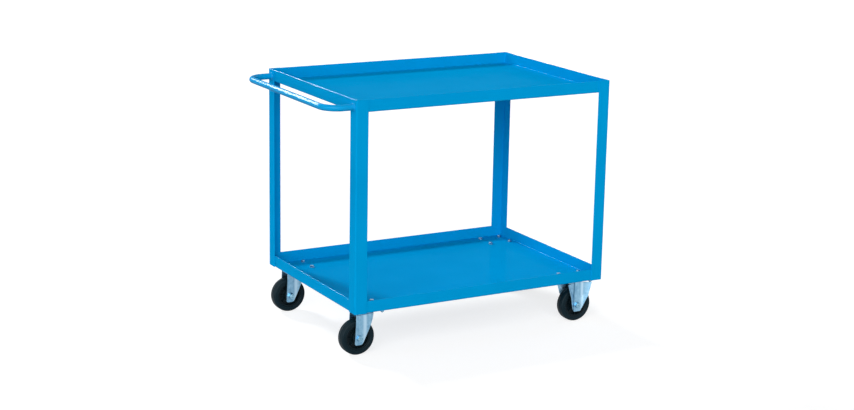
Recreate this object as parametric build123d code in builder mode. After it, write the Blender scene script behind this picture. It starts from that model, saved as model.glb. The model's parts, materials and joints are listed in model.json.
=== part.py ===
import os

from build123d import *

os.makedirs("parts", exist_ok=True)

# Driving dimensions of the welded frame, in millimetres
frame_length = 1000.0
frame_width = 700.0
post_length = 730.0
post_flange = 45.0
post_thickness = 3.0
post_bend_radius = 4.0
tray_lip = 42.0
tray_sheet = 2.0
tray_bend_radius = 4.0
tray_corner_radius = 4.5
post_edge_radius = 1.0

# Push handle: one bent tube between the end faces of the rear posts
handle_tube = 22.0
handle_wall = 2.0
handle_reach = 94.0
handle_bend_radius = 60.0
handle_drop = 25.0

# Casters, all of one build height
caster_height = 163.0
swivel_inset = 78.0
fixed_inset = 70.0
caster_inset_y = 72.0
plate_length = 115.0
plate_width = 102.0
plate_thickness = 3.0
plate_corner_radius = 8.0
bolt_spacing_x = 86.0
bolt_spacing_y = 78.0

# Wheel: solid tyre on a moulded rim
wheel_diameter = 125.0
tyre_width = 36.0
tyre_shoulder = 7.0
rim_diameter = 90.0
rim_width = 32.0
rim_shell = 6.0
rim_web = 9.0
hub_diameter = 42.0
hub_length = 44.0
bearing_diameter = 26.0
sleeve_diameter = 18.0

# Fork sheet and its shape seen from the side, measured from the axle
fork_sheet = 3.0
fork_side_gap = 2.0
fork_tip_drop = 24.0
fork_tip_radius = 7.0
swivel_trail = 36.0
swivel_tail_top = 12.0
swivel_tail_bottom = 18.0
swivel_tip_front = 11.0
fork_crown_radius = 4.0
fixed_panel_half = 17.0
fixed_flare_top = 33.0
fixed_flare_knee = 18.0
fixed_flare_out = 15.0
fixed_knee_rise = 34.0
fixed_flare_end_drop = 16.0
fixed_flare_tip = 0.6

# Swivel head: two ball rings on a riveted kingpin
head_drop = 12.0
crown_thickness = 4.5
kingpin_diameter = 12.0
kingpin_flange = 36.0
kingpin_flange_thickness = 5.0
upper_ball = 6.0
upper_pitch_radius = 21.0
upper_ball_count = 16
lower_ball = 5.0
lower_pitch_radius = 12.5
lower_ball_count = 12
race_gap = 2.0
race_width = 11.0
race_height = 2.0

# Fasteners
axle_thread = 12.0
axle_head_flats = 19.0
axle_head_height = 7.5
axle_nut_height = 10.0
axle_nut_chamfer = 1.0
axle_end = 3.0
bolt_thread = 8.0
bolt_length = 16.0
bolt_head_flats = 13.0
bolt_head_height = 7.5
bolt_flange_diameter = 17.5
bolt_flange_thickness = 1.5
bolt_nut_height = 6.5
bolt_head_chamfer = 0.8
washer_diameter = 16.0
washer_thickness = 1.6

# Clearances
hole_clearance = 0.25
bolt_end_gap = 1.0
run_clearance = 0.05
seat_clearance = 0.02
ball_clearance = 0.15

# Places that follow from the sizes above
axle_height = wheel_diameter / 2
frame_top = caster_height + post_length
handle_height = frame_top - handle_drop
handle_overhang = handle_reach + handle_tube / 2
deck_x = handle_overhang / 2
rear_x = deck_x - frame_length / 2
front_x = deck_x + frame_length / 2
tray_length = frame_length - 2 * post_thickness
tray_width = frame_width - 2 * post_thickness
upper_tray_base = frame_top - tray_lip
floor_top = caster_height + tray_sheet
caster_y = frame_width / 2 - caster_inset_y
swivel_x = rear_x + swivel_inset
fixed_x = front_x - fixed_inset
plate_underside = caster_height - plate_thickness
crown_top = plate_underside - head_drop
crown_bottom = crown_top - crown_thickness
fork_inner = hub_length / 2 + fork_side_gap
fork_outer = fork_inner + fork_sheet
fork_tip = axle_height - fork_tip_drop
upper_ball_height = crown_top + race_height + race_gap / 2
lower_ball_height = crown_bottom - race_gap / 2
flange_top = crown_bottom - race_gap
bolt_end = floor_top - bolt_length
flare_top = bolt_end - bolt_end_gap

sides = {"left": 1, "right": -1}
swivel_points = {side: (swivel_x, sign * caster_y) for side, sign in sides.items()}
fixed_points = {side: (fixed_x, sign * caster_y) for side, sign in sides.items()}
bolt_points = [
    (x + dx * bolt_spacing_x / 2, y + dy * bolt_spacing_y / 2)
    for x, y in [*swivel_points.values(), *fixed_points.values()]
    for dx in (-1, 1)
    for dy in (-1, 1)
]


def level(x, y, z):
    """Horizontal plane through a point."""
    return Plane(origin=(x, y, z), x_dir=(1, 0, 0), z_dir=(0, 0, 1))


def axle_section(x, y):
    """Plane through a wheel's axle: across is along the axle, up is radial."""
    return Plane(origin=(x, y, axle_height), x_dir=(0, 1, 0), z_dir=(1, 0, 0))


def side_view(x, y, z):
    """Upright plane along the trolley, facing its right-hand side."""
    return Plane(origin=(x, y, z), x_dir=(1, 0, 0), z_dir=(0, -1, 0))


def save(part, label):
    part.label = label
    export_step(part, f"parts/{label}.step")


def folded_tray(base, label, hole_points=()):
    """Sheet tray with a rounded fold between its floor and its four lips."""
    with BuildPart() as tray:
        with BuildSketch(level(deck_x, 0, base)):
            Rectangle(tray_length, tray_width)
        extrude(amount=tray_lip)
        fillet(tray.edges().filter_by(Axis.Z), tray_corner_radius)
        fillet(tray.faces().sort_by(Axis.Z)[0].edges(), tray_bend_radius)
        with BuildSketch(level(deck_x, 0, base + tray_lip)):
            RectangleRounded(
                tray_length - 2 * tray_sheet,
                tray_width - 2 * tray_sheet,
                tray_corner_radius - tray_sheet,
            )
        extrude(amount=tray_sheet - tray_lip, mode=Mode.SUBTRACT)
        inner_floor = tray.faces().filter_by(Plane.XY).sort_by(Axis.Z)[1]
        fillet(inner_floor.edges(), tray_bend_radius - tray_sheet)
        if hole_points:
            with BuildSketch(level(0, 0, base)):
                with Locations(*hole_points):
                    Circle(bolt_thread / 2 + hole_clearance)
            extrude(amount=tray_sheet, mode=Mode.SUBTRACT)
    save(tray.part, label)


def corner_post(end_x, side, label):
    """Folded angle whose bend stands on the trolley's corner."""
    toward_x = 1 if end_x < deck_x else -1
    toward_y = -side
    with BuildPart() as post:
        with BuildSketch(level(end_x, side * frame_width / 2, caster_height)):
            with BuildLine():
                Polyline(
                    (0, 0),
                    (toward_x * post_flange, 0),
                    (toward_x * post_flange, toward_y * post_thickness),
                    (toward_x * post_thickness, toward_y * post_thickness),
                    (toward_x * post_thickness, toward_y * post_flange),
                    (0, toward_y * post_flange),
                    close=True,
                )
            make_face()
        extrude(amount=post_length)
        corner = (end_x, side * frame_width / 2, caster_height + post_length / 2)
        fillet(post.edges().filter_by(Axis.Z).sort_by_distance(corner)[0], post_bend_radius)
        fillet(post.edges().filter_by(Axis.Z).sort_by_distance(corner)[-2:], post_edge_radius)
    save(post.part, label)


def hexagon(flats):
    """Hexagon across its flats, in the sketch that is open."""
    RegularPolygon(radius=flats / 2, side_count=6, major_radius=False)


def wheel_ring(x, y, profile_points, label, edge_radius=0.0):
    """Ring turned about a wheel's axle from its half section (along the axle, radial)."""
    with BuildPart() as ring:
        with BuildSketch(axle_section(x, y)) as section:
            with BuildLine():
                Polyline(*profile_points, close=True)
            make_face()
            if edge_radius:
                outermost = section.vertices().group_by(Axis.Y)[-1]
                fillet(outermost, edge_radius)
        revolve(axis=Axis((x, y, axle_height), (0, 1, 0)))
    save(ring.part, label)


def wheel(x, y, name):
    """Tyre, rim and roller bearing of one wheel, centred on its axle."""
    tyre_half = tyre_width / 2
    rim_half = rim_width / 2
    web_half = rim_web / 2
    hub_half = hub_length / 2
    rim_radius = rim_diameter / 2
    hub_radius = hub_diameter / 2
    bearing_radius = bearing_diameter / 2
    tyre_bore = rim_radius + seat_clearance
    hub_bore = bearing_radius + seat_clearance
    rim_inside = rim_radius - rim_shell
    wheel_ring(
        x,
        y,
        [
            (-rim_half, tyre_bore),
            (rim_half, tyre_bore),
            (tyre_half, tyre_bore + tyre_half - rim_half),
            (tyre_half, wheel_diameter / 2),
            (-tyre_half, wheel_diameter / 2),
            (-tyre_half, tyre_bore + tyre_half - rim_half),
        ],
        f"{name}_tyre",
        tyre_shoulder,
    )
    wheel_ring(
        x,
        y,
        [
            (-hub_half, hub_bore),
            (hub_half, hub_bore),
            (hub_half, hub_radius),
            (web_half, hub_radius),
            (web_half, rim_inside),
            (rim_half, rim_inside),
            (rim_half, rim_radius),
            (-rim_half, rim_radius),
            (-rim_half, rim_inside),
            (-web_half, rim_inside),
            (-web_half, hub_radius),
            (-hub_half, hub_radius),
        ],
        f"{name}_rim",
    )
    bearing_bore = sleeve_diameter / 2 + run_clearance
    wheel_ring(
        x,
        y,
        [
            (-hub_half, bearing_bore),
            (hub_half, bearing_bore),
            (hub_half, bearing_radius),
            (-hub_half, bearing_radius),
        ],
        f"{name}_bearing",
    )


def axle(x, y, outward, name):
    """Sleeve, bolt and nut that clamp between the fork's legs, with the head on the outer side."""
    sleeve_bore = axle_thread / 2 + seat_clearance
    wheel_ring(
        x,
        y,
        [
            (-fork_inner, sleeve_bore),
            (fork_inner, sleeve_bore),
            (fork_inner, sleeve_diameter / 2),
            (-fork_inner, sleeve_diameter / 2),
        ],
        f"{name}_axle_sleeve",
    )
    head_face = Plane(
        origin=(x, y + outward * fork_outer, axle_height),
        x_dir=(1, 0, 0),
        z_dir=(0, outward, 0),
    )
    nut_face = Plane(
        origin=(x, y - outward * fork_outer, axle_height),
        x_dir=(1, 0, 0),
        z_dir=(0, -outward, 0),
    )
    with BuildPart() as bolt:
        with BuildSketch(head_face):
            hexagon(axle_head_flats)
        extrude(amount=axle_head_height)
        chamfer(bolt.faces().sort_by(Axis.Y)[-1 if outward > 0 else 0].edges(), axle_nut_chamfer)
        with BuildSketch(head_face):
            Circle(axle_thread / 2)
        extrude(amount=-(2 * fork_outer + axle_nut_height + axle_end))
        chamfer(
            bolt.faces().sort_by(Axis.Y)[0 if outward > 0 else -1].edges(),
            axle_nut_chamfer,
        )
    save(bolt.part, f"{name}_axle_bolt")
    with BuildPart() as nut:
        with BuildSketch(nut_face):
            hexagon(axle_head_flats)
            Circle(axle_thread / 2 + seat_clearance, mode=Mode.SUBTRACT)
        extrude(amount=axle_nut_height)
        outer_face = nut.faces().filter_by(Plane.XZ).sort_by(Axis.Y)[0 if outward > 0 else -1]
        chamfer(outer_face.outer_wire().edges(), axle_nut_chamfer)
    save(nut.part, f"{name}_axle_nut")


def axle_holes(x, y):
    """Bolt hole through both legs of the fork that is open."""
    with BuildSketch(side_view(x, y, axle_height)) as hole:
        Circle(axle_thread / 2 + hole_clearance)
    extrude(hole.sketch, amount=2 * fork_outer, both=True, mode=Mode.SUBTRACT)


def plate_holes(x, y):
    """Four bolt holes through the caster plate that is open."""
    with BuildSketch(level(x, y, caster_height)) as holes:
        with GridLocations(bolt_spacing_x, bolt_spacing_y, 2, 2):
            Circle(bolt_thread / 2 + hole_clearance)
    extrude(holes.sketch, amount=-plate_thickness, mode=Mode.SUBTRACT)


def ball_groove(x, y, pitch_radius, height, ball):
    """Round groove for a ring of balls, cut about the kingpin of the piece that is open."""
    with BuildSketch(side_view(x, y, 0)) as groove:
        with Locations((pitch_radius, height)):
            Circle(ball / 2 + ball_clearance)
    revolve(groove.sketch, axis=Axis((x, y, 0), (0, 0, 1)), mode=Mode.SUBTRACT)


def ball_ring(x, y, pitch_radius, height, ball, count, label):
    """Loose balls spaced evenly round the kingpin."""
    with BuildPart() as balls:
        with Locations(level(x, y, height)):
            with PolarLocations(pitch_radius, count):
                Sphere(ball / 2)
    save(balls.part, label)


def swivel_head(x, y, name):
    """Plate, kingpin and ball rings that stay with the frame while the fork turns."""
    race_inner = upper_pitch_radius - race_width / 2
    race_outer = upper_pitch_radius + race_width / 2
    with BuildPart() as plate:
        with BuildSketch(level(x, y, plate_underside)):
            RectangleRounded(plate_length, plate_width, plate_corner_radius)
        extrude(amount=plate_thickness)
        with BuildSketch(level(x, y, plate_underside)):
            Circle(race_outer)
        extrude(amount=-(head_drop - race_height - race_gap))
        with BuildSketch(level(x, y, caster_height)):
            Circle(kingpin_diameter / 2 + seat_clearance)
        extrude(amount=-(plate_thickness + head_drop), mode=Mode.SUBTRACT)
        ball_groove(x, y, upper_pitch_radius, upper_ball_height, upper_ball)
        plate_holes(x, y)
    save(plate.part, f"{name}_plate")
    with BuildPart() as kingpin:
        with BuildSketch(level(x, y, flange_top)):
            Circle(kingpin_flange / 2)
        extrude(amount=-kingpin_flange_thickness)
        chamfer(kingpin.faces().sort_by(Axis.Z)[0].edges(), kingpin_flange_thickness / 4)
        with BuildSketch(level(x, y, flange_top)):
            Circle(kingpin_diameter / 2)
        extrude(amount=caster_height - flange_top)
        ball_groove(x, y, lower_pitch_radius, lower_ball_height, lower_ball)
    save(kingpin.part, f"{name}_kingpin")
    ball_ring(
        x, y, upper_pitch_radius, upper_ball_height, upper_ball, upper_ball_count,
        f"{name}_upper_balls",
    )
    ball_ring(
        x, y, lower_pitch_radius, lower_ball_height, lower_ball, lower_ball_count,
        f"{name}_lower_balls",
    )


def swivel_fork(x, y, label):
    """Pressed fork: a crown under the ball ring, round in front, with two legs that trail back."""
    tail = -swivel_trail - swivel_tail_bottom
    with BuildPart() as fork:
        with BuildSketch(level(x, y, crown_top)):
            with Locations((tail / 2, 0)):
                Rectangle(-tail, 2 * fork_outer)
            Circle(fork_outer)
        extrude(amount=fork_tip - crown_top)
        fillet(fork.faces().sort_by(Axis.Z)[-1].edges(), fork_crown_radius)
        with BuildSketch(level(x, y, crown_bottom)):
            with Locations((tail, 0)):
                Rectangle(-2 * tail, 2 * fork_inner)
            Circle(fork_inner)
        extrude(amount=fork_tip - crown_bottom, mode=Mode.SUBTRACT)
        with BuildSketch(side_view(x - swivel_trail, y, 0)) as outline:
            with BuildLine():
                Polyline(
                    (-swivel_tail_top, crown_top),
                    (swivel_trail + fork_outer, crown_top),
                    (swivel_tip_front, fork_tip),
                    (-swivel_tail_bottom, fork_tip),
                    close=True,
                )
            make_face()
            fillet(outline.vertices().group_by(Axis.Y)[0], fork_tip_radius)
        extrude(amount=2 * fork_outer, both=True, mode=Mode.INTERSECT)
        with BuildSketch(level(x, y, crown_top)):
            Circle(upper_pitch_radius + race_width / 2)
            Circle(upper_pitch_radius - race_width / 2, mode=Mode.SUBTRACT)
        extrude(amount=race_height)
        ball_groove(x, y, upper_pitch_radius, upper_ball_height, upper_ball)
        ball_groove(x, y, lower_pitch_radius, lower_ball_height, lower_ball)
        with BuildSketch(level(x, y, crown_top + race_height)):
            Circle(kingpin_diameter / 2 + run_clearance)
        extrude(amount=-(crown_thickness + race_height), mode=Mode.SUBTRACT)
        axle_holes(x - swivel_trail, y)
    save(fork.part, label)


def fixed_fork(x, y, label):
    """Pressed fork: a flat plate with two straight legs whose edges flare out below the bolts."""
    knee = axle_height + fixed_knee_rise
    flare_end = axle_height - fixed_flare_end_drop
    flares = [
        (flare_top, fixed_flare_top, fixed_flare_out),
        (knee, fixed_flare_knee, fixed_flare_out),
        (flare_end, fixed_flare_tip, fixed_flare_tip),
    ]
    with BuildPart() as fork:
        with BuildSketch(level(x, y, plate_underside)):
            RectangleRounded(plate_length, plate_width, plate_corner_radius)
        extrude(amount=plate_thickness)
        for side in (-1, 1):
            panel_face = side_view(x, y + side * (fork_inner + fork_sheet / 2), 0)
            with BuildSketch(panel_face) as panel:
                with Locations((0, (plate_underside + fork_tip) / 2)):
                    Rectangle(2 * fixed_panel_half, plate_underside - fork_tip)
                fillet(panel.vertices().group_by(Axis.Y)[0], fork_tip_radius)
            extrude(amount=fork_sheet / 2, both=True)
            for end in (-1, 1):
                for height, spread, flare in flares:
                    with BuildSketch(level(x, y, height)):
                        with BuildLine():
                            Polyline(
                                (end * (fixed_panel_half - fork_sheet), side * fork_inner),
                                (end * (fixed_panel_half - fork_sheet), side * fork_outer),
                                (end * (fixed_panel_half + spread), side * (fork_outer + flare)),
                                (end * (fixed_panel_half + spread), side * (fork_inner + flare)),
                                close=True,
                            )
                        make_face()
                loft(ruled=True)
        plate_holes(x, y)
        axle_holes(x, y)
    save(fork.part, label)


# Welded frame: two trays standing inside four corner posts
folded_tray(upper_tray_base, "upper_tray")
folded_tray(caster_height, "lower_tray", bolt_points)
for side, sign in sides.items():
    corner_post(rear_x, sign, f"rear_{side}_post")
    corner_post(front_x, sign, f"front_{side}_post")

# Push handle, welded to the middle of the end faces of the rear posts
grip_x = rear_x - handle_reach
arm_y = frame_width / 2 - post_flange / 2
with BuildPart() as push_handle:
    with BuildLine():
        FilletPolyline(
            (rear_x, arm_y, handle_height),
            (grip_x, arm_y, handle_height),
            (grip_x, -arm_y, handle_height),
            (rear_x, -arm_y, handle_height),
            radius=handle_bend_radius,
        )
    with BuildSketch(Plane(origin=(rear_x, arm_y, handle_height), x_dir=(0, 1, 0), z_dir=(-1, 0, 0))):
        Circle(handle_tube / 2)
        Circle(handle_tube / 2 - handle_wall, mode=Mode.SUBTRACT)
    sweep()
save(push_handle.part, "push_handle")

# Casters: a swivel pair under the handle end and a fixed pair under the front end
for side, sign in sides.items():
    pin_x, pin_y = swivel_points[side]
    swivel_name = f"swivel_{side}"
    swivel_head(pin_x, pin_y, swivel_name)
    swivel_fork(pin_x, pin_y, f"{swivel_name}_fork")
    axle(pin_x - swivel_trail, pin_y, sign, swivel_name)
    wheel(pin_x - swivel_trail, pin_y, swivel_name)

    plate_x, plate_y = fixed_points[side]
    fixed_name = f"fixed_{side}"
    fixed_fork(plate_x, plate_y, f"{fixed_name}_fork")
    axle(plate_x, plate_y, sign, fixed_name)
    wheel(plate_x, plate_y, fixed_name)

# Caster fasteners: flanged hexagon bolts from inside the lower tray, with a washer and nut under each plate
with BuildPart() as caster_bolts:
    with BuildSketch(level(0, 0, floor_top)):
        with Locations(*bolt_points):
            hexagon(bolt_head_flats)
    extrude(amount=bolt_head_height)
    top_faces = caster_bolts.faces().filter_by(Plane.XY).group_by(Axis.Z)[-1]
    chamfer(top_faces.edges(), bolt_head_chamfer)
    with BuildSketch(level(0, 0, floor_top)):
        with Locations(*bolt_points):
            Circle(bolt_flange_diameter / 2)
    extrude(amount=bolt_flange_thickness)
    with BuildSketch(level(0, 0, floor_top)):
        with Locations(*bolt_points):
            Circle(bolt_thread / 2)
    extrude(amount=-bolt_length)
save(caster_bolts.part, "caster_bolts")

with BuildPart() as caster_washers:
    with BuildSketch(level(0, 0, plate_underside)):
        with Locations(*bolt_points):
            Circle(washer_diameter / 2)
            Circle(bolt_thread / 2 + hole_clearance, mode=Mode.SUBTRACT)
    extrude(amount=-washer_thickness)
save(caster_washers.part, "caster_washers")

with BuildPart() as caster_nuts:
    with BuildSketch(level(0, 0, plate_underside - washer_thickness)):
        with Locations(*bolt_points):
            hexagon(bolt_head_flats)
            Circle(bolt_thread / 2 + seat_clearance, mode=Mode.SUBTRACT)
    extrude(amount=-bolt_nut_height)
save(caster_nuts.part, "caster_nuts")
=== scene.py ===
import json
import math

import bmesh
import bpy
from mathutils import Matrix, Vector

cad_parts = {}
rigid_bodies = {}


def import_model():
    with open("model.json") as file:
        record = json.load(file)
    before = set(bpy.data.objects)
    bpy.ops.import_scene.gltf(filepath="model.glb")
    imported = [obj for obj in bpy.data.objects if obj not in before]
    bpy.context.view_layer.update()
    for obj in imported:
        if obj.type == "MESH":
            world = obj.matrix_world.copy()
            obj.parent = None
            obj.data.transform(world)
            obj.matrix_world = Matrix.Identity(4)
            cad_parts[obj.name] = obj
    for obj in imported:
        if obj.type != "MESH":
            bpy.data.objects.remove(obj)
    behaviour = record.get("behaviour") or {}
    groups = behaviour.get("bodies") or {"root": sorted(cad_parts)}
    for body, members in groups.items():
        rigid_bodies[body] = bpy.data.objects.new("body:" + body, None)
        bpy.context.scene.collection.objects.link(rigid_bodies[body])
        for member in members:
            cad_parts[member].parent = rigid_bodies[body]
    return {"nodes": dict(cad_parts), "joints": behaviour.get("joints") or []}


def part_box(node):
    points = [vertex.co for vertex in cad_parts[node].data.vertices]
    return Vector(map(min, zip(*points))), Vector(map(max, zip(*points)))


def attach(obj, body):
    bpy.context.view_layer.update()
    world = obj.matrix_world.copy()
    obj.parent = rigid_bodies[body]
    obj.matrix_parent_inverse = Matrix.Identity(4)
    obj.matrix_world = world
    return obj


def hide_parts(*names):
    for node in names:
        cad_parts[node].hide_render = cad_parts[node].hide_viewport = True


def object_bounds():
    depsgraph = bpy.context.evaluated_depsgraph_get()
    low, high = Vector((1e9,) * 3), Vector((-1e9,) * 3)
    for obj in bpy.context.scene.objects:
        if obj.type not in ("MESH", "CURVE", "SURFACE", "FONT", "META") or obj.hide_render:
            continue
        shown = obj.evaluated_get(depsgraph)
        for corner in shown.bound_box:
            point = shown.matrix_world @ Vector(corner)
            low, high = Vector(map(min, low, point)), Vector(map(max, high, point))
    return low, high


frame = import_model()
cad_low, cad_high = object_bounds()

# Trays: each is one 2 mm steel sheet with its four edges folded up into lips and seamed at the corners.
# They are powder coated blue together with the posts, after welding, so no seam shows through the film.
tray_sheet = 0.002
tray_fold = 0.004
sheet_edge = 0.0007
fold_steps = 5
smooth_angle = math.radians(35)


def shown_colour(red, green, blue):
    """Linear colour of the 8-bit colour that a finish shows in plain light."""
    scaled = [channel / 255 for channel in (red, green, blue)]
    linear = [c / 12.92 if c <= 0.04045 else ((c + 0.055) / 1.055) ** 2.4 for c in scaled]
    return (*linear, 1.0)


def add_node(tree, kind, inputs, **settings):
    """Adds a shader node, with its settings first and then its inputs, as values or as links."""
    made = tree.nodes.new(kind)
    for setting, value in settings.items():
        setattr(made, setting, value)
    for socket, value in inputs.items():
        if isinstance(value, bpy.types.NodeSocket):
            tree.links.new(value, made.inputs[socket])
        else:
            made.inputs[socket].default_value = value
    return made


def new_effect(name, inputs, outputs):
    """Empty shader node group with named number sockets: the group, its input node and its output node."""
    group = bpy.data.node_groups.new(name, "ShaderNodeTree")
    for direction, sockets in (("INPUT", inputs), ("OUTPUT", outputs)):
        for socket in sockets:
            group.interface.new_socket(socket, in_out=direction, socket_type="NodeSocketFloat")
    return group, group.nodes.new("NodeGroupInput"), group.nodes.new("NodeGroupOutput")


def two_tone(tree, mask, low, high):
    """Colour that runs from low to high with a mask."""
    ramp = add_node(tree, "ShaderNodeValToRGB", {"Fac": mask})
    ramp.color_ramp.elements[0].color = low
    ramp.color_ramp.elements[1].color = high
    return ramp.outputs["Color"]


def spread(tree, mask, low, high):
    """Number that runs from low to high with a mask."""
    run = add_node(tree, "ShaderNodeMapRange", {"Value": mask, "To Min": low, "To Max": high})
    return run.outputs["Result"]


def new_finish(name):
    """Empty node material: the material, its tree and its Principled shader."""
    finish = bpy.data.materials.new(name)
    finish.use_nodes = True
    return finish, finish.node_tree, finish.node_tree.nodes["Principled BSDF"]


def powder_film():
    """Film of baked powder: a slow cloud of tone, and orange peel over the sheet's own faint waves."""
    group, start, end = new_effect(
        "powder_film", ["Cloud Scale", "Peel Scale", "Wave Share"], ["Cloud", "Height"]
    )
    place = group.nodes.new("ShaderNodeTexCoord").outputs["Object"]
    cloud = add_node(group, "ShaderNodeTexNoise", {"Vector": place, "Scale": start.outputs["Cloud Scale"]})
    peel = add_node(group, "ShaderNodeTexNoise", {"Vector": place, "Scale": start.outputs["Peel Scale"]})
    wave = add_node(
        group,
        "ShaderNodeMath",
        {0: cloud.outputs["Fac"], 1: start.outputs["Wave Share"], 2: peel.outputs["Fac"]},
        operation="MULTIPLY_ADD",
    )
    group.links.new(cloud.outputs["Fac"], end.inputs["Cloud"])
    group.links.new(wave.outputs["Value"], end.inputs["Height"])
    return group


paint_film = powder_film()
paint_deep = shown_colour(0, 142, 202)
paint_light = shown_colour(0, 151, 211)
paint_cloud_scale = 7.0
paint_peel_scale = 650.0


def blue_powder_coat(name, roughness, least_gloss, most_gloss, peel_depth, wave_share):
    """Semi-gloss blue powder coat."""
    finish, tree, shader = new_finish(name)
    film = add_node(
        tree,
        "ShaderNodeGroup",
        {"Cloud Scale": paint_cloud_scale, "Peel Scale": paint_peel_scale, "Wave Share": wave_share},
        node_tree=paint_film,
    )
    bump = add_node(tree, "ShaderNodeBump", {"Height": film.outputs["Height"], "Distance": peel_depth})
    colour = two_tone(tree, film.outputs["Cloud"], paint_deep, paint_light)
    gloss = spread(tree, film.outputs["Cloud"], least_gloss, most_gloss)
    tree.links.new(colour, shader.inputs["Base Color"])
    tree.links.new(gloss, shader.inputs["Coat Weight"])
    tree.links.new(bump.outputs["Normal"], shader.inputs["Normal"])
    shader.inputs["Specular IOR Level"].default_value = 0.0
    shader.inputs["Coat Roughness"].default_value = roughness
    return finish


sheet_paint = blue_powder_coat(
    "sheet_paint", roughness=0.17, least_gloss=0.010, most_gloss=0.024, peel_depth=0.000006, wave_share=8.0
)
fold_paint = blue_powder_coat(
    "fold_paint", roughness=0.15, least_gloss=0.03, most_gloss=0.06, peel_depth=0.000003, wave_share=2.0
)
edge_paint = blue_powder_coat(
    "edge_paint", roughness=0.14, least_gloss=0.28, most_gloss=0.45, peel_depth=0.000003, wave_share=0.0
)


def face_outward(shape, inside):
    """Turns every face of an open sheet away from a point inside it."""
    shape.normal_update()
    turned = [f for f in shape.faces if f.normal.dot(f.calc_center_median() - inside) < 0]
    bmesh.ops.reverse_faces(shape, faces=turned)


def fit_piece(name, shape, finish, slot, body, *nodes):
    """Makes a shape into a piece that rides on its body and stands for its nodes."""
    mesh = bpy.data.meshes.new(name)
    shape.to_mesh(mesh)
    shape.free()
    mesh.shade_smooth()
    mesh.set_sharp_from_angle(angle=smooth_angle)
    mesh.materials.append(finish)
    piece = bpy.data.objects.new(name, mesh)
    bpy.context.scene.collection.objects.link(piece)
    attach(piece, body)
    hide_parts(*nodes)
    return piece


def ease_edges(piece, radius, finish, steps=2):
    """Rounds a piece's sharp edges, in a finish of their own, and keeps its flat faces flat in the light."""
    piece.data.materials.append(finish)
    edge = piece.modifiers.new("eased_edges", "BEVEL")
    edge.material = len(piece.data.materials) - 1
    edge.width = radius
    edge.segments = steps
    edge.limit_method = "ANGLE"
    edge.angle_limit = smooth_angle
    piece.modifiers.new("flat_faces", "WEIGHTED_NORMAL")


def thicken_sheet(piece, thickness):
    """Gives an open sheet its thickness, inward from the face that shows."""
    wall = piece.modifiers.new("sheet", "SOLIDIFY")
    wall.thickness = thickness
    wall.offset = -1.0
    wall.use_even_offset = True


def round_folds(shape, edges, radius):
    """Rounds the folds of an open sheet, which get its second finish."""
    folds = bmesh.ops.bevel(
        shape, geom=edges, offset=radius, segments=fold_steps, profile=0.5, affect="EDGES", material=-1
    )["faces"]
    for fold in folds:
        fold.material_index = 1


def add_block(shape, low, high):
    """Adds a box between two corners and gives its new vertices."""
    place = Matrix.Translation((low + high) / 2) @ Matrix.Diagonal((*(high - low), 1.0))
    return bmesh.ops.create_cube(shape, size=1.0, matrix=place)["verts"]


for tray in ("upper_tray", "lower_tray"):
    low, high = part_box(tray)
    shape = bmesh.new()
    add_block(shape, low, high)
    lid = max(shape.faces, key=lambda face: face.calc_center_median().z)
    bmesh.ops.delete(shape, geom=[lid], context="FACES_ONLY")
    round_folds(shape, [edge for edge in shape.edges if not edge.is_boundary], tray_fold)
    face_outward(shape, (low + high) / 2)
    piece = fit_piece(f"{tray}_sheet", shape, sheet_paint, "blue_paint", "frame", tray)
    thicken_sheet(piece, tray_sheet)
    piece.data.materials.append(fold_paint)
    ease_edges(piece, sheet_edge, edge_paint)

# Corner posts: four lengths of 45 mm angle, folded from 3 mm sheet, standing outside the trays' corners.
# Each is welded to the lips of both trays and painted with them.
post_sheet = 0.003
post_fold = 0.004
post_edge = 0.0009
deck_low, deck_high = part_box("lower_tray")
deck_middle = (deck_low + deck_high) / 2


def outer_and_inner(low, high, middle):
    """The end of a span that lies further from the middle, and then the nearer one."""
    return (low, high) if low < middle else (high, low)


def corner_of(post):
    """Outer and inner x, and outer and inner y, of a corner post."""
    low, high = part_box(post)
    return *outer_and_inner(low.x, high.x, deck_middle.x), *outer_and_inner(low.y, high.y, deck_middle.y)


def pull_up(shape, edges, rise):
    """Extrudes edges and moves the new ones, which it gives."""
    made = bmesh.ops.extrude_edge_only(shape, edges=edges)["geom"]
    bmesh.ops.translate(shape, vec=rise, verts=[v for v in made if isinstance(v, bmesh.types.BMVert)])
    return [e for e in made if isinstance(e, bmesh.types.BMEdge)]


posts = [f"{end}_{side}_post" for end in ("rear", "front") for side in ("left", "right")]
for post in posts:
    low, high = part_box(post)
    out_x, in_x, out_y, in_y = corner_of(post)
    shape = bmesh.new()
    foot = [shape.verts.new((x, y, low.z)) for x, y in ((in_x, out_y), (out_x, out_y), (out_x, in_y))]
    pull_up(shape, [shape.edges.new(pair) for pair in zip(foot, foot[1:])], Vector((0, 0, high.z - low.z)))
    round_folds(shape, [edge for edge in shape.edges if not edge.is_boundary], post_fold)
    face_outward(shape, Vector((deck_middle.x, deck_middle.y, (low.z + high.z) / 2)))
    piece = fit_piece(f"{post}_angle", shape, sheet_paint, "blue_paint", "frame", post)
    thicken_sheet(piece, post_sheet)
    ease_edges(piece, post_edge, sheet_paint)

# Push handle: one length of 22 mm steel tube, bent twice and welded square to the rear posts' end faces.
# It has the same blue coat, which hands keep a little smoother than the sheets'.
grip_bend = 0.060
tube_sides = 36
bend_steps = 12
grip_paint = blue_powder_coat(
    "grip_paint", roughness=0.15, least_gloss=0.12, most_gloss=0.16, peel_depth=0.000003, wave_share=1.0
)
low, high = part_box("push_handle")
tube_radius = (high.z - low.z) / 2
tube_height = (low.z + high.z) / 2
arm_y = high.y - tube_radius
arm_end = high.x
arm_run = arm_end - (low.x + tube_radius) - grip_bend
bar_run = 2 * (arm_y - grip_bend)


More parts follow.
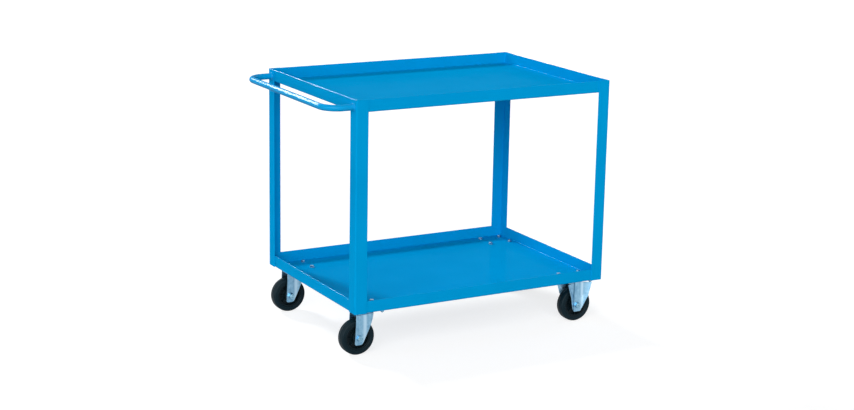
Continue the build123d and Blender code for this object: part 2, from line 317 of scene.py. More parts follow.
def sweep_round(shape, edges, centre, turn):
    """Swings a ring of edges about an upright axis and gives the last ring."""
    made = bmesh.ops.spin(shape, geom=edges, cent=centre, axis=(0, 0, 1), angle=turn, steps=bend_steps)
    return [e for e in made["geom_last"] if isinstance(e, bmesh.types.BMEdge)]


def close_ends(shape):
    """Caps the open ends of tubes."""
    bmesh.ops.holes_fill(shape, edges=[edge for edge in shape.edges if edge.is_boundary])
    bmesh.ops.recalc_face_normals(shape, faces=shape.faces)


shape = bmesh.new()
tube_end = Matrix.Translation((arm_end, arm_y, tube_height)) @ Matrix.Rotation(math.pi / 2, 4, "Y")
bmesh.ops.create_circle(shape, segments=tube_sides, radius=tube_radius, matrix=tube_end)
ring = pull_up(shape, shape.edges[:], Vector((-arm_run, 0, 0)))
ring = [edge for edge in ring if len(edge.link_faces) == 1]
bend_x = arm_end - arm_run
ring = sweep_round(shape, ring, (bend_x, arm_y - grip_bend, tube_height), math.pi / 2)
ring = [edge for edge in pull_up(shape, ring, Vector((0, -bar_run, 0))) if len(edge.link_faces) == 1]
ring = sweep_round(shape, ring, (bend_x, grip_bend - arm_y, tube_height), math.pi / 2)
pull_up(shape, ring, Vector((arm_run, 0, 0)))
close_ends(shape)
fit_piece("push_handle_tube", shape, grip_paint, "blue_paint", "frame", "push_handle")

# Weld beads: short rippled runs under both trays, inside each angle post, and a ring round each handle arm.
# They were laid before painting, so they carry the same blue coat.
bead_radius = 0.0022
bead_pitch = 0.0026
bead_ripple = 0.82
bead_sides = 10
bead_gap = 0.008


def edges_at(verts):
    """Edges that meet at vertices, each once and in the same order every time."""
    return list(dict.fromkeys(edge for vert in verts for edge in vert.link_edges))


def lay_bead(shape, start, end):
    """Adds one straight weld bead, rippled along its length."""
    run = end - start
    ripples = 2 * round(run.length / bead_pitch)
    turn = run.to_track_quat("Z", "Y").to_matrix().to_4x4()
    begin = Matrix.Translation(start) @ turn
    known = set(shape.verts)
    ring = bmesh.ops.create_circle(shape, segments=bead_sides, radius=bead_radius, matrix=begin)["verts"]
    pattern = ring + edges_at(ring)
    bmesh.ops.spin(shape, geom=pattern, cent=start, axis=run, dvec=run / ripples, steps=ripples)
    for vert in set(shape.verts) - known:
        step = round((vert.co - start).dot(run) / run.length_squared * ripples)
        spine = start + run * step / ripples
        vert.co = spine + (vert.co - spine) * (1.0 if step % 2 else bead_ripple)


def lay_ring(shape, centre, radius):
    """Adds a weld bead round an arm of the handle, rippled along its length."""
    ripples = 2 * round(math.pi * radius / bead_pitch)
    begin = Matrix.Translation(centre + Vector((0, 0, radius))) @ Matrix.Rotation(math.pi / 2, 4, "X")
    known = set(shape.verts)
    ring = bmesh.ops.create_circle(shape, segments=bead_sides, radius=bead_radius, matrix=begin)["verts"]
    bmesh.ops.spin(
        shape,
        geom=ring + edges_at(ring),
        cent=centre,
        axis=(1, 0, 0),
        angle=2 * math.pi,
        steps=ripples,
        use_merge=True,
    )
    for vert in set(shape.verts) - known:
        out = (vert.co - centre) * Vector((0, 1, 1))
        step = round(math.atan2(out.y, out.z) / (2 * math.pi) * ripples)
        spine = centre + out.normalized() * radius
        vert.co = spine + (vert.co - spine) * (1.0 if step % 2 else bead_ripple)


shape = bmesh.new()
for post in posts:
    out_x, in_x, out_y, in_y = corner_of(post)
    to_x, to_y = math.copysign(1, in_x - out_x), math.copysign(1, in_y - out_y)
    for tray in ("upper_tray", "lower_tray"):
        seam_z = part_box(tray)[0].z + bead_radius / 2
        seam_x, seam_y = out_x + to_x * post_sheet, out_y + to_y * post_sheet
        lay_bead(
            shape,
            Vector((seam_x + to_x * bead_gap, seam_y + to_y * bead_radius / 2, seam_z)),
            Vector((in_x - to_x * bead_gap, seam_y + to_y * bead_radius / 2, seam_z)),
        )
        lay_bead(
            shape,
            Vector((seam_x + to_x * bead_radius / 2, seam_y + to_y * bead_gap, seam_z)),
            Vector((seam_x + to_x * bead_radius / 2, in_y - to_y * bead_gap, seam_z)),
        )
for side in (-1, 1):
    lay_ring(shape, Vector((arm_end - bead_radius / 3, side * arm_y, tube_height)), tube_radius)
close_ends(shape)
fit_piece("frame_weld_beads", shape, edge_paint, "blue_paint", "frame")

# Swivel heads: a 3 mm pressed plate under the lower tray, with the upper ball race formed in its middle.
# They are electro-plated with zinc, and the plating has a cloudy, faintly blue bloom.
caster_sheet = 0.003
caster_edge = 0.0007
plate_corner = 0.008
turned_steps = 72
streak_draw = (1.0, 1.0, 0.05)
streak_scale = 150.0
cloud_detail = 3.0
crystal_share = 0.12
bloom_least = 0.25
bloom_most = 0.75
bloom_depth = 0.00004


def zinc_bloom():
    """Cloudy crystals and drain streaks of electro-plated zinc, and the unevenness that they leave."""
    group, start, end = new_effect(
        "zinc_bloom", ["Crystal Scale", "Cloud Scale", "Streak Scale", "Streak Share"], ["Bloom", "Height"]
    )
    place = group.nodes.new("ShaderNodeTexCoord").outputs["Object"]
    drawn = add_node(group, "ShaderNodeVectorMath", {0: place, 1: streak_draw}, operation="MULTIPLY")
    streak = add_node(
        group,
        "ShaderNodeTexNoise",
        {"Vector": drawn.outputs["Vector"], "Scale": start.outputs["Streak Scale"]},
    )
    cloud = add_node(
        group,
        "ShaderNodeTexNoise",
        {"Vector": place, "Scale": start.outputs["Cloud Scale"], "Detail": cloud_detail},
    )
    crystal = add_node(
        group, "ShaderNodeTexVoronoi", {"Vector": place, "Scale": start.outputs["Crystal Scale"]}
    )
    tone = add_node(group, "ShaderNodeRGBToBW", {"Color": crystal.outputs["Color"]})
    mottle = add_node(
        group,
        "ShaderNodeMix",
        {"Factor": crystal_share, "A": cloud.outputs["Fac"], "B": tone.outputs["Val"]},
    )
    bloom = add_node(
        group,
        "ShaderNodeMix",
        {
            "Factor": start.outputs["Streak Share"],
            "A": mottle.outputs["Result"],
            "B": streak.outputs["Fac"],
        },
    )
    clear = add_node(
        group,
        "ShaderNodeMapRange",
        {"Value": bloom.outputs["Result"], "From Min": bloom_least, "From Max": bloom_most},
    )
    group.links.new(clear.outputs["Result"], end.inputs["Bloom"])
    group.links.new(mottle.outputs["Result"], end.inputs["Height"])
    return group


plating = zinc_bloom()


def painted_fold_light():
    """A soft line along a fold that stands across a pressing at one place, for painted highlights and painted
    shade along folds.
    """
    group, start, end = new_effect("painted_fold_light", ["Place", "Reach"], ["Line"])
    place = group.nodes.new("ShaderNodeTexCoord").outputs["Object"]
    along = add_node(group, "ShaderNodeSeparateXYZ", {"Vector": place})
    offset = add_node(
        group, "ShaderNodeMath", {0: along.outputs["X"], 1: start.outputs["Place"]}, operation="SUBTRACT"
    )
    away = add_node(group, "ShaderNodeMath", {0: offset.outputs["Value"]}, operation="ABSOLUTE")
    line = add_node(
        group,
        "ShaderNodeMapRange",
        {
            "Value": away.outputs["Value"],
            "From Max": start.outputs["Reach"],
            "To Min": 1.0,
            "To Max": 0.0,
        },
        interpolation_type="SMOOTHSTEP",
    )
    group.links.new(line.outputs["Result"], end.inputs["Line"])
    return group


fold_light_group = painted_fold_light()


def zinc_plate(name, dull, bright, smoothest, roughest, crystal_scale, streak_share, folds=()):
    """Bright zinc plating, with painted light along each fold, given as place, reach and colour: a painted
    highlight where the colour is lighter, painted shade where it is darker.
    """
    finish, tree, shader = new_finish(name)
    bloom = add_node(
        tree,
        "ShaderNodeGroup",
        {
            "Crystal Scale": crystal_scale,
            "Cloud Scale": crystal_scale / 3,
            "Streak Scale": streak_scale,
            "Streak Share": streak_share,
        },
        node_tree=plating,
    )
    colour = two_tone(tree, bloom.outputs["Bloom"], dull, bright)
    # Each fold line mixes in its colour: painted light along that fold.
    for place, reach, tone in folds:
        line = add_node(tree, "ShaderNodeGroup", {"Place": place, "Reach": reach}, node_tree=fold_light_group)
        toned = add_node(
            tree, "ShaderNodeMix", {0: line.outputs["Line"], 6: colour, 7: tone}, data_type="RGBA"
        )
        colour = toned.outputs[2]
    roughness = spread(tree, bloom.outputs["Bloom"], roughest, smoothest)
    bump = add_node(tree, "ShaderNodeBump", {"Height": bloom.outputs["Height"], "Distance": bloom_depth})
    tree.links.new(colour, shader.inputs["Base Color"])
    tree.links.new(roughness, shader.inputs["Roughness"])
    tree.links.new(bump.outputs["Normal"], shader.inputs["Normal"])
    shader.inputs["Metallic"].default_value = 1.0
    return finish


sheet_plating = {
    "dull": shown_colour(86, 136, 170),
    "bright": shown_colour(156, 198, 222),
    "smoothest": 0.26,
    "roughest": 0.44,
    "crystal_scale": 260.0,
    "streak_share": 0.45,
}
# Lighter zinc colour that paints a highlight along a fold.
painted_highlight_zinc = shown_colour(176, 208, 228)
pressed_zinc = zinc_plate("pressed_zinc", **sheet_plating)


def round_corners(shape, corners, radius):
    """Rounds corners of an open sheet or of a section."""
    bmesh.ops.bevel(
        shape,
        geom=corners,
        offset=radius,
        segments=fold_steps,
        profile=0.5,
        affect="VERTICES",
        material=-1,
    )


def turned_ring(shape, centre, axis, section, rounding=()):
    """Spins a closed section of (place along, radius) pairs, and rounds the corners that rounding names."""
    across = Vector((1, 0, 0)) if axis.z else Vector((0, 0, 1))
    corners = [shape.verts.new(centre + axis * along + across * radius) for along, radius in section]
    for pair in zip(corners, corners[1:] + corners[:1]):
        shape.edges.new(pair)
    for radius, chosen in rounding:
        round_corners(shape, [corners[index] for index in chosen], radius)
    outline = [edge for edge in shape.edges if not edge.link_faces]
    rim = list(dict.fromkeys(vert for edge in outline for vert in edge.verts))
    bmesh.ops.spin(
        shape,
        geom=rim + outline,
        cent=centre,
        axis=axis,
        angle=2 * math.pi,
        steps=turned_steps,
        use_merge=True,
    )
    bmesh.ops.recalc_face_normals(shape, faces=shape.faces)


def add_plate(shape, low, high, height):
    """Adds a level sheet with rounded corners."""
    corners = [(low.x, low.y), (high.x, low.y), (high.x, high.y), (low.x, high.y)]
    verts = [shape.verts.new((x, y, height)) for x, y in corners]
    shape.faces.new(verts)
    round_corners(shape, verts, plate_corner)


upright = Vector((0, 0, 1))
pins = {joint["child"]: Vector(joint["pos_m"]) for joint in frame["joints"]}
race_inner = 0.0155
race_outer = 0.0265
race_rim = 0.001
for side in ("left", "right"):
    plate = f"swivel_{side}_plate"
    low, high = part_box(plate)
    pin = pins[f"swivel_{side}_caster"]
    shape = bmesh.new()
    add_plate(shape, low, high, high.z)
    face_outward(shape, low)
    piece = fit_piece(f"{plate}_sheet", shape, pressed_zinc, "zinc_pressings", "frame", plate)
    thicken_sheet(piece, caster_sheet)
    ease_edges(piece, caster_edge, pressed_zinc)
    shape = bmesh.new()
    race_top = high.z - caster_sheet
    turned_ring(
        shape,
        Vector((pin.x, pin.y, 0)),
        upright,
        [(low.z, race_inner), (low.z, race_outer), (race_top, race_outer), (race_top, race_inner)],
        [(race_rim, [0, 1])],
    )
    fit_piece(f"swivel_{side}_upper_race", shape, pressed_zinc, "zinc_pressings", "frame")

# Swivel forks: one 3 mm pressing each, a crown that is round in front and two legs that trail behind the pin.
# The crown carries the lower ball race. The fork is zinc plated, with a painted highlight where its cheeks
# turn in.
crown_fold = 0.004
fork_tip_round = 0.007
fork_tail_top = 0.012
fork_tip_front = 0.011
race_height = 0.002
front_steps = 16
same_place = 1e-6
near_place = 1e-4
right_angle_slack = 0.1
cheek_fold = 0.0155
cheek_sheen = 0.012
# A painted highlight lightens the plating along the fold where each cheek turns in.
swivel_zinc = zinc_plate(
    "swivel_zinc",
    **sheet_plating,
    folds=[(pins["swivel_left_caster"].x - cheek_fold, cheek_sheen, painted_highlight_zinc)],
)


def trim_sheet(shape, point, outward):
    """Cuts away what lies beyond a plane."""
    bmesh.ops.bisect_plane(
        shape,
        geom=shape.verts[:] + shape.edges[:] + shape.faces[:],
        plane_co=point,
        plane_no=outward,
        clear_outer=True,
        dist=same_place,
    )


for side in ("left", "right"):
    fork = f"swivel_{side}_fork"
    low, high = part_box(fork)
    pin = pins[f"swivel_{side}_caster"]
    axle = pins[f"swivel_{side}_wheel"]
    half = (high.y - low.y) / 2
    crown = high.z - race_height
    shape = bmesh.new()
    tail = shape.verts.new((low.x, low.y, crown))
    front = shape.verts.new((pin.x, low.y, crown))
    shape.edges.new((tail, front))
    turned = bmesh.ops.spin(
        shape, geom=[front], cent=(pin.x, pin.y, crown), axis=upright, angle=math.pi, steps=front_steps
    )
    last = next(v for v in turned["geom_last"] if isinstance(v, bmesh.types.BMVert))
    shape.edges.new((last, shape.verts.new((low.x, high.y, crown))))
    outline = shape.edges[:]
    pull_up(shape, outline, Vector((0, 0, low.z - crown)))
    rim = [vert for vert in shape.verts if abs(vert.co.z - crown) < same_place]
    bmesh.ops.contextual_create(shape, geom=[edge for edge in outline if edge.is_valid] + rim)
    face_outward(shape, Vector((axle.x, pin.y, axle.z)))
    bends = [e for e in shape.edges if abs(e.calc_face_angle(0) - math.pi / 2) < right_angle_slack]
    round_folds(shape, bends, crown_fold)
    reach = pin.x + half - (axle.x + fork_tip_front)
    fall = crown - low.z
    trim_sheet(shape, Vector((axle.x + fork_tip_front, 0, low.z)), Vector((fall, 0, -reach)))
    trim_sheet(shape, Vector((low.x, 0, low.z)), Vector((-fall, 0, axle.x - fork_tail_top - low.x)))
    tips = [v for v in shape.verts if v.is_boundary and v.co.z < low.z + near_place]
    tip_back, tip_front = low.x + near_place, axle.x + fork_tip_front - near_place
    ends = [v for v in tips if v.co.x < tip_back or v.co.x > tip_front]
    round_corners(shape, ends, fork_tip_round)
    piece = fit_piece(
        f"{fork}_pressing", shape, swivel_zinc, "zinc_pressings", f"swivel_{side}_caster", fork
    )
    thicken_sheet(piece, caster_sheet)
    ease_edges(piece, caster_edge, pressed_zinc)
    shape = bmesh.new()
    turned_ring(
        shape,
        Vector((pin.x, pin.y, 0)),
        upright,
        [(crown, race_inner), (crown, race_outer), (high.z, race_outer), (high.z, race_inner)],
        [(race_rim, [2, 3])],
    )
    fit_piece(f"swivel_{side}_lower_race", shape, pressed_zinc, "zinc_pressings", f"swivel_{side}_caster")

# Fixed forks: a 3 mm plate with two straight legs, whose edges are pressed outward into stiffening flares.
# They are zinc plated like the swivel forks and bolted under the front end of the lower tray.
# Painted shade darkens the plating along the rear folds, and a painted highlight lightens it along the front
# ones.
panel_half = 0.017
flare_out = 0.015
flare_top = 0.033
flare_knee = 0.018
flare_end = 0.0006
flare_start_rise = 0.0855
flare_knee_rise = 0.034
flare_end_drop = 0.016
rear_shade = 0.005
# Dark zinc colour that paints shade into the rear folds.
painted_shade_zinc = shown_colour(34, 84, 114)
front_sheen = 0.008
flare_zinc = zinc_plate(
    "flare_zinc",
    **sheet_plating,
    folds=[
        # Painted shade along the rear fold, painted highlight along the front fold.
        (pins["fixed_left_wheel"].x - panel_half, rear_shade, painted_shade_zinc),
        (pins["fixed_left_wheel"].x + panel_half, front_sheen, painted_highlight_zinc),
    ],
)
for side in ("left", "right"):
    fork = f"fixed_{side}_fork"
    low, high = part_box(fork)
    hub = pins[f"fixed_{side}_wheel"]
    leg_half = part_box(f"fixed_{side}_axle_sleeve")[1].y - hub.y + caster_sheet
    leg_top = high.z - caster_sheet
    levels = (hub.z + flare_start_rise, hub.z + flare_knee_rise, hub.z - flare_end_drop)
    spreads = ((flare_top, flare_out), (flare_knee, flare_out), (flare_end, flare_end))
    shape = bmesh.new()
    add_plate(shape, low.xy.to_3d(), high, high.z)
    top_plate = set(shape.faces)
    for out in (-1, 1):
        face_y = hub.y + out * leg_half
        edges_of_panel = {}
        for end in (-1, 1):
            fold_x = hub.x + end * panel_half
            fold = [shape.verts.new((fold_x, face_y, z)) for z in (leg_top, *levels, low.z)]
            wing = [
                shape.verts.new((fold_x + end * across, face_y + out * rise, z))
                for z, (across, rise) in zip(levels, spreads)
            ]
            for index in (0, 1):
                shape.faces.new((fold[index + 1], wing[index], wing[index + 1], fold[index + 2]))
            edges_of_panel[end] = fold
        left, right = edges_of_panel[-1], edges_of_panel[1]
        for index in range(len(left) - 1):
            shape.faces.new((left[index], right[index], right[index + 1], left[index + 1]))
        round_corners(shape, [left[-1], right[-1]], fork_tip_round)
    # The legs take the zinc with painted shade and painted highlight along their folds.
    for leg in set(shape.faces) - top_plate:
        leg.material_index = 1
    face_outward(shape, hub)
    piece = fit_piece(f"{fork}_pressing", shape, pressed_zinc, "zinc_pressings", "frame", fork)
    piece.data.materials.append(flare_zinc)
    thicken_sheet(piece, caster_sheet)
    ease_edges(piece, caster_edge, pressed_zinc)

# Kingpins and balls: a riveted steel pin with a flange, and two rings of hardened balls in each swivel head.
# The pin is zinc plated, and the balls are bare polished steel under a film of grease.
grease_scale = 180.0
grease_detail = 3.0
greased_steel = shown_colour(120, 116, 108)
polished_steel = shown_colour(188, 188, 190)
greased_roughness = 0.34
polished_roughness = 0.16
bearing_steel, tree, shader = new_finish("bearing_steel")
place = tree.nodes.new("ShaderNodeTexCoord").outputs["Object"]
grease = add_node(
    tree, "ShaderNodeTexNoise", {"Vector": place, "Scale": grease_scale, "Detail": grease_detail}
).outputs["Fac"]
colour = two_tone(tree, grease, greased_steel, polished_steel)
roughness = spread(tree, grease, greased_roughness, polished_roughness)
tree.links.new(colour, shader.inputs["Base Color"])
tree.links.new(roughness, shader.inputs["Roughness"])
shader.inputs["Metallic"].default_value = 1.0


def finish_node(node, finish):
    """Gives a CAD node that stays in view its finish."""
    slots = frame["nodes"][node].data.materials
    slots.clear()
    slots.append(finish)


for side in ("left", "right"):
    finish_node(f"swivel_{side}_kingpin", pressed_zinc)
    finish_node(f"swivel_{side}_upper_balls", bearing_steel)
    finish_node(f"swivel_{side}_lower_balls", bearing_steel)

# Wheel rims: moulded from black polypropylene, with a thin web, a hub for the bearing and stiffening ribs.
# Each is pushed into its tyre and turns on a roller bearing.
casters = ("swivel_left", "swivel_right", "fixed_left", "fixed_right")
rim_shell = 0.006
rim_web = 0.009
hub_outer = 0.021
hub_bore = 0.0135
rim_round = 0.0012
rib_count = 8
rib_width = 0.0028
rib_setback = 0.004
rim_setback = 0.002
skin_bloom_scale = 45.0
skin_bloom_detail = 4.0


def moulded_skin():
    """Skin of a moulding: a fine grain, and a slow bloom of tone."""
    group, start, end = new_effect("moulded_skin", ["Grain Scale", "Bloom Scale"], ["Bloom", "Height"])
    place = group.nodes.new("ShaderNodeTexCoord").outputs["Object"]
    grain = add_node(group, "ShaderNodeTexNoise", {"Vector": place, "Scale": start.outputs["Grain Scale"]})
    bloom = add_node(
        group,
        "ShaderNodeTexNoise",
        {"Vector": place, "Scale": start.outputs["Bloom Scale"], "Detail": skin_bloom_detail},
    )
    group.links.new(bloom.outputs["Fac"], end.inputs["Bloom"])
    group.links.new(grain.outputs["Fac"], end.inputs["Height"])
    return group


skin = moulded_skin()


def black_moulding(name, deep, light, smoothest, roughest, grain_scale, grain_depth):
    """Black rubber or plastic."""
    finish, tree, shader = new_finish(name)
    surface = add_node(
        tree, "ShaderNodeGroup", {"Grain Scale": grain_scale, "Bloom Scale": skin_bloom_scale}, node_tree=skin
    )
    bump = add_node(tree, "ShaderNodeBump", {"Height": surface.outputs["Height"], "Distance": grain_depth})
    colour = two_tone(tree, surface.outputs["Bloom"], deep, light)
    roughness = spread(tree, surface.outputs["Bloom"], smoothest, roughest)
    tree.links.new(colour, shader.inputs["Base Color"])
    tree.links.new(roughness, shader.inputs["Roughness"])
    tree.links.new(bump.outputs["Normal"], shader.inputs["Normal"])
    shader.inputs["Specular IOR Level"].default_value = 0.1
    return finish


rim_plastic = black_moulding(
    "rim_plastic",
    deep=shown_colour(5, 16, 21),
    light=shown_colour(10, 26, 33),
    smoothest=0.38,
    roughest=0.50,
    grain_scale=1400.0,
    grain_depth=0.00002,
)
sideways = Vector((0, 1, 0))
for caster in casters:
    hub = pins[f"{caster}_wheel"]
    low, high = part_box(f"{caster}_rim")
    rim_radius = (high.z - low.z) / 2
    rim_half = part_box(f"{caster}_tyre")[1].y - hub.y - rim_setback
    hub_half = high.y - hub.y
    web = rim_web / 2
    well = rim_radius - rim_shell
    shape = bmesh.new()
    half_section = [
        (hub_half, hub_bore),
        (hub_half, hub_outer),
        (web, hub_outer),
        (web, well),
        (rim_half, well),
        (rim_half, rim_radius),
    ]
    section = half_section + [(-along, radius) for along, radius in reversed(half_section)]
    turned_ring(shape, hub, sideways, section, [(rim_round, range(1, len(section) - 1))])
    for out in (-1, 1):
        near_y, far_y = sorted((out * web, out * (rim_half - rib_setback)))
        for rib in range(rib_count):
            block = add_block(
                shape,
                Vector((hub_outer - rim_round, near_y, -rib_width / 2)),
                Vector((well + rim_round, far_y, rib_width / 2)),
            )
            turn = Matrix.Rotation(2 * math.pi * rib / rib_count, 3, "Y")
            bmesh.ops.rotate(shape, verts=block, cent=(0, 0, 0), matrix=turn)
            bmesh.ops.translate(shape, verts=block, vec=hub)
    piece = fit_piece(
        f"{caster}_rim_moulding", shape, rim_plastic, "rim_plastic", f"{caster}_wheel", f"{caster}_rim"
    )
    ease_edges(piece, rim_round / 3, rim_plastic)

# Tyres: solid black rubber rings, 125 mm across, with round shoulders and a shallow groove in each side wall.
# They grip the rim by their own stretch and carry a faint mould line round the middle of the tread.
tread_drop = 0.0002
mould_line = 0.0006
shoulder = 0.007
wall_groove = 0.0007
groove_rise = 0.006
bead_slope = 0.002
tyre_rubber = black_moulding(
    "tyre_rubber",
    deep=shown_colour(6, 22, 29),
    light=shown_colour(12, 33, 41),
    smoothest=0.42,
    roughest=0.55,
    grain_scale=900.0,
    grain_depth=0.00003,
)
for caster in casters:
    hub = pins[f"{caster}_wheel"]
    low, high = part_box(f"{caster}_tyre")
    outside = (high.z - low.z) / 2
    tyre_half = high.y - hub.y
    rim_low, rim_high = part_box(f"{caster}_rim")
    bore = (rim_high.z - rim_low.z) / 2
    groove = bore + groove_rise
    shape = bmesh.new()
    half_section = [
        (tyre_half - bead_slope, bore),
        (tyre_half, bore + bead_slope),
        (tyre_half, groove),
        (tyre_half - wall_groove, groove + wall_groove),
        (tyre_half - wall_groove, groove + 2 * wall_groove),
        (tyre_half, groove + 3 * wall_groove),
        (tyre_half, outside - tread_drop),
        (mould_line, outside - tread_drop),
        (mould_line / 2, outside),
    ]
    section = half_section + [(-along, radius) for along, radius in reversed(half_section)]
    turned_ring(shape, hub, sideways, section, [(shoulder, [6, 11])])
    fit_piece(f"{caster}_tyre_ring", shape, tyre_rubber, "tyre_rubber", f"{caster}_wheel", f"{caster}_tyre")

# Axles: an M12 bolt through each fork, its head outward, with a nut, a spacer sleeve and a roller bearing.
# Bolt and nut are zinc plated, and the sleeve and bearing are plain ground steel.
axle_radius = 0.006
hex_chamfer = 0.0011
thread_pitch = 0.00175
thread_depth = 0.0009
thread_core = 0.0005
bright_zinc = zinc_plate(
    "bright_zinc",
    dull=shown_colour(82, 130, 154),
    bright=shown_colour(160, 204, 226),
    smoothest=0.16,
    roughest=0.30,
    crystal_scale=700.0,
    streak_share=0.1,
)


def add_hexagon(shape, centre, axis, flats, length, chamfered):
    """Adds a hexagon that starts at a point and runs along an axis, with its far end chamfered."""
    turn = Matrix.Rotation(math.pi / 2 * -axis.y, 4, "X") if axis.y else Matrix.Identity(4)
    made = bmesh.ops.create_cone(
        shape,
        cap_ends=True,
        segments=6,
        radius1=flats / math.sqrt(3),
        radius2=flats / math.sqrt(3),
        depth=length,
        matrix=Matrix.Translation(centre + axis * length / 2) @ turn @ Matrix.Rotation(math.pi / 6, 4, "Z"),
    )["verts"]
    far = [v for v in made if (v.co - centre).dot(axis) > length / 2]
    rim = [edge for edge in edges_at(far) if all(end in far for end in edge.verts)]
    bmesh.ops.bevel(
        shape, geom=rim, offset=chamfered, segments=2, profile=0.5, affect="EDGES", material=-1
    )


def add_thread(shape, centre, axis, radius, length):
    """Adds a threaded end, as close rings, that starts at a point and runs along an axis."""
    turns = max(2, round(length / thread_pitch))
    ridge = [(length * index / turns, radius) for index in range(turns + 1)]
    valley = [(length * (index + 0.5) / turns, radius - thread_depth) for index in range(turns)]
    profile = sorted(ridge + valley)
    end_round = (length, radius - thread_depth)
    turned_ring(shape, centre, axis, [(0.0, thread_core), *profile, end_round, (length, thread_core)])


for caster in casters:
    hub = pins[f"{caster}_wheel"]
    body = "frame" if caster.startswith("fixed") else f"{caster}_caster"
    out = sideways * math.copysign(1, hub.y)
    sleeve_low, sleeve_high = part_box(f"{caster}_axle_sleeve")
    leg_face = (sleeve_high.y - sleeve_low.y) / 2 + caster_sheet
    bolt_low, bolt_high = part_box(f"{caster}_axle_bolt")
    nut_low, nut_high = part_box(f"{caster}_axle_nut")
    head_length = min(bolt_high.y - hub.y, hub.y - bolt_low.y) - leg_face
    nut_length = nut_high.y - nut_low.y
    flats = nut_high.z - nut_low.z
    end_length = bolt_high.y - bolt_low.y - 2 * leg_face - head_length - nut_length
    shape = bmesh.new()
    add_hexagon(shape, hub + out * leg_face, out, flats, head_length, hex_chamfer)
    thread_start = hub - out * (leg_face + nut_length - thread_pitch)
    add_thread(shape, thread_start, -out, axle_radius, end_length + thread_pitch)
    fit_piece(f"{caster}_axle_bolt_plated", shape, bright_zinc, "zinc_fasteners", body, f"{caster}_axle_bolt")
    shape = bmesh.new()
    add_hexagon(shape, hub - out * leg_face, -out, flats, nut_length, hex_chamfer)
    fit_piece(f"{caster}_axle_nut_plated", shape, bright_zinc, "zinc_fasteners", body, f"{caster}_axle_nut")
    finish_node(f"{caster}_axle_sleeve", bearing_steel)
    finish_node(f"{caster}_bearing", bearing_steel)

# Caster bolts: sixteen M8 bolts with flanged hexagon heads, dropped through the floor of the lower tray.
# A washer and a nut hold each one under the caster plate, and all are bright zinc plated.
bolt_flats = 0.013
bolt_radius = 0.004
bolt_chamfer = 0.0008
flange_radius = 0.00875
flange_height = 0.0015
flange_edge = 0.0005
washer_radius = 0.008
washer_edge = 0.0003
bolt_along = 0.043
bolt_across = 0.039
floor_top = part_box("lower_tray")[0].z + tray_sheet
bolt_low, bolt_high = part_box("caster_bolts")
washer_low, washer_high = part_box("caster_washers")
nut_low, nut_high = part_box("caster_nuts")
bolt_places = []
for caster in casters:
    plate = f"{caster}_plate" if caster.startswith("swivel") else f"{caster}_fork"
    low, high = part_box(plate)
    middle = ((low + high) / 2).xy.to_3d()
    for along in (-bolt_along, bolt_along):
        bolt_places += [middle + Vector((along, across, 0)) for across in (-bolt_across, bolt_across)]


def repeat_at(shape, places):
    """Copies a shape made at the origin to every place, and drops the first one."""
    pattern = shape.verts[:] + shape.edges[:] + shape.faces[:]
    for place in places:
        copied = bmesh.ops.duplicate(shape, geom=pattern)["geom"]
        bmesh.ops.translate(shape, vec=place, verts=[v for v in copied if isinstance(v, bmesh.types.BMVert)])
    bmesh.ops.delete(shape, geom=[v for v in pattern if isinstance(v, bmesh.types.BMVert)], context="VERTS")


bolts, washers, nuts = bmesh.new(), bmesh.new(), bmesh.new()
thread_start = nut_low.z + thread_pitch
flange_top = floor_top + flange_height
turned_ring(
    bolts,
    Vector((0, 0, 0)),
    upright,
    [
        (floor_top, bolt_radius),
        (floor_top, flange_radius),
        (flange_top, flange_radius),
        (flange_top, bolt_radius),
    ],
    [(flange_edge, [2])],
)
add_hexagon(bolts, upright * floor_top, upright, bolt_flats, bolt_high.z - floor_top, bolt_chamfer)
add_thread(bolts, upright * thread_start, -upright, bolt_radius, thread_start - bolt_low.z)
turned_ring(
    washers,
    Vector((0, 0, 0)),
    upright,
    [
        (washer_low.z, bolt_radius),
        (washer_low.z, washer_radius),
        (washer_high.z, washer_radius),
        (washer_high.z, bolt_radius),
    ],
    [(washer_edge, [1])],
)
add_hexagon(nuts, upright * nut_high.z, -upright, bolt_flats, nut_high.z - nut_low.z, bolt_chamfer)
for shape in (bolts, washers, nuts):
    repeat_at(shape, bolt_places)
fit_piece("caster_bolts_plated", bolts, bright_zinc, "zinc_fasteners", "frame", "caster_bolts")
fit_piece("caster_washers_plated", washers, bright_zinc, "zinc_fasteners", "frame", "caster_washers")
fit_piece("caster_nuts_plated", nuts, bright_zinc, "zinc_fasteners", "frame", "caster_nuts")

# Studio floor: one wide white ground under and around the trolley.
# It takes the trolley's soft shadow, and shows as plain white elsewhere.
floor_size = 60.0
floor_white = 0.38
floor_glow = 0.75
floor_roughness = 0.9
floor_finish, tree, shader = new_finish("studio_floor")
shader.inputs["Base Color"].default_value = (floor_white, floor_white, floor_white, 1.0)
shader.inputs["Roughness"].default_value = floor_roughness
shader.inputs["Specular IOR Level"].default_value = 0.0


def seen_directly(tree):
    """1 for rays from the camera, a mirror or glass, and 0 for the light that falls on the trolley."""
    path = tree.nodes.new("ShaderNodeLightPath")
    mirror = add_node(
        tree,
        "ShaderNodeMath",
        {0: path.outputs["Is Glossy Ray"], 1: path.outputs["Is Transmission Ray"]},
        operation="MAXIMUM",
    )
    seen = add_node(
        tree,
        "ShaderNodeMath",
        {0: path.outputs["Is Camera Ray"], 1: mirror.outputs["Value"]},
        operation="MAXIMUM",
    )
    return seen.outputs["Value"]


glow = add_node(tree, "ShaderNodeMath", {0: seen_directly(tree), 1: floor_glow}, operation="MULTIPLY")
shader.inputs["Emission Color"].default_value = (1.0, 1.0, 1.0, 1.0)
tree.links.new(glow.outputs["Value"], shader.inputs["Emission Strength"])
shape = bmesh.new()
bmesh.ops.create_grid(shape, x_segments=1, y_segments=1, size=floor_size / 2)
floor_mesh = bpy.data.meshes.new("studio_floor")
shape.to_mesh(floor_mesh)
shape.free()
floor_mesh.materials.append(floor_finish)
floor = bpy.data.objects.new("studio_floor", floor_mesh)
bpy.context.scene.collection.objects.link(floor)

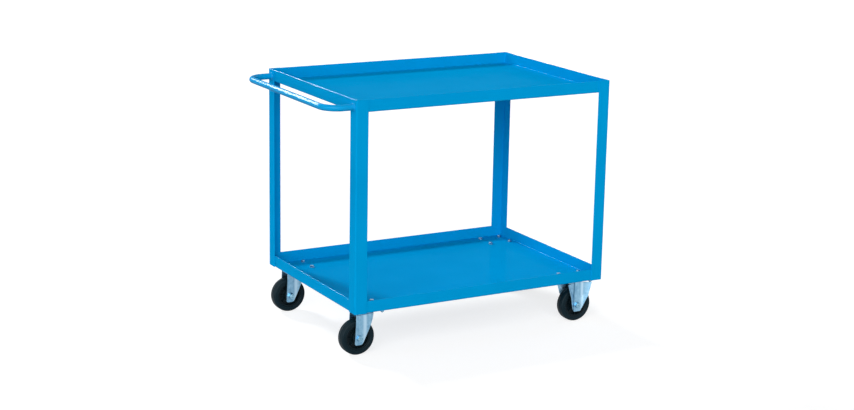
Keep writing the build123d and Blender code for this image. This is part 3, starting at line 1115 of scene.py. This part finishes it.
# Studio light: a wide soft key from beside the camera, a harder one from behind, and fills from both ends.
# A long strip behind the trolley lights the painted pieces alone.
# It draws the bright lines along the handle and the lips.
sky_level = 0.1
sky_white = 1.0
strip_power = 460
strip_place = Vector((-1.5, 4.2, 2.8))
strip_length = 3.0
strip_width = 0.9
strip_turn = math.radians(-30.5)
world = bpy.data.worlds.new("studio")
bpy.context.scene.world = world
world.use_nodes = True
tree = world.node_tree
tree.nodes.clear()
sky = add_node(tree, "ShaderNodeBackground", {"Strength": sky_level})
backdrop = add_node(tree, "ShaderNodeBackground", {"Strength": sky_white})
for shade in (sky, backdrop):
    shade.inputs["Color"].default_value = (1.0, 1.0, 1.0, 1.0)
mixed = add_node(
    tree,
    "ShaderNodeMixShader",
    {"Fac": seen_directly(tree), 1: sky.outputs["Background"], 2: backdrop.outputs["Background"]},
)
add_node(tree, "ShaderNodeOutputWorld", {"Surface": mixed.outputs["Shader"]})


def hang_lamp(name, kind, power, place, aim):
    """Adds a lamp that shines from a place towards an aim."""
    lamp = bpy.data.lights.new(name, kind)
    lamp.energy = power
    holder = bpy.data.objects.new(name, lamp)
    holder.location = place
    holder.rotation_euler = (aim - place).to_track_quat("-Z", "Y").to_euler()
    bpy.context.scene.collection.objects.link(holder)
    return holder


for name, level, softness, place in (
    ("front_key", 3.4, 60, Vector((-2.68, -3.82, 1.79))),
    ("left_fill", 0.45, 50, Vector((-4.85, -0.17, 1.21))),
    ("back_key", 2.65, 12, Vector((-0.83, 4.29, 2.42))),
    ("right_fill", 0.9, 60, Vector((4.87, 0.43, 1.04))),
):
    hang_lamp(name, "SUN", level, place, Vector((0, 0, 0))).data.angle = math.radians(softness)
bpy.data.objects["back_key"].visible_glossy = False
strip = hang_lamp("back_strip", "AREA", strip_power, strip_place, (cad_low + cad_high) / 2)
strip.data.shape = "RECTANGLE"
strip.data.size = strip_length
strip.data.size_y = strip_width
strip.rotation_euler.rotate_axis("Z", strip_turn)
strip.visible_diffuse = False
painted = bpy.data.collections.new("painted_pieces")
for piece in bpy.context.scene.objects:
    if piece.type == "MESH" and piece.data.materials and piece.data.materials[0].name.endswith("_paint"):
        painted.objects.link(piece)
strip.light_linking.receiver_collection = painted

# Camera: a little above a standing person's eyes, off the trolley's near handle corner.
# Its place, turn and lens follow the edges of the trays and posts.
frame_width_px = 854
focal_px = 1743.8
sensor_mm = 36.0
camera_yaw = math.radians(29.335)
camera_pitch = math.radians(13.818)
camera_roll = math.radians(-1.072)
camera_place = Vector((-2.9787, -5.3336, 1.9221))
view = bpy.data.cameras.new("photo_view")
view.sensor_width = sensor_mm
view.lens = focal_px * sensor_mm / frame_width_px
camera = bpy.data.objects.new("photo_view", view)
bpy.context.scene.collection.objects.link(camera)
look = Vector(
    (
        math.sin(camera_yaw) * math.cos(camera_pitch),
        math.cos(camera_yaw) * math.cos(camera_pitch),
        -math.sin(camera_pitch),
    )
)
level_across = Vector((math.cos(camera_yaw), -math.sin(camera_yaw), 0))
level_up = -look.cross(level_across)
across = level_across * math.cos(camera_roll) - level_up * math.sin(camera_roll)
up = level_across * math.sin(camera_roll) + level_up * math.cos(camera_roll)
camera.matrix_world = Matrix.Translation(camera_place) @ Matrix((across, up, -look)).transposed().to_4x4()
bpy.context.scene.camera = camera
bpy.context.scene.view_settings.view_transform = "Standard"
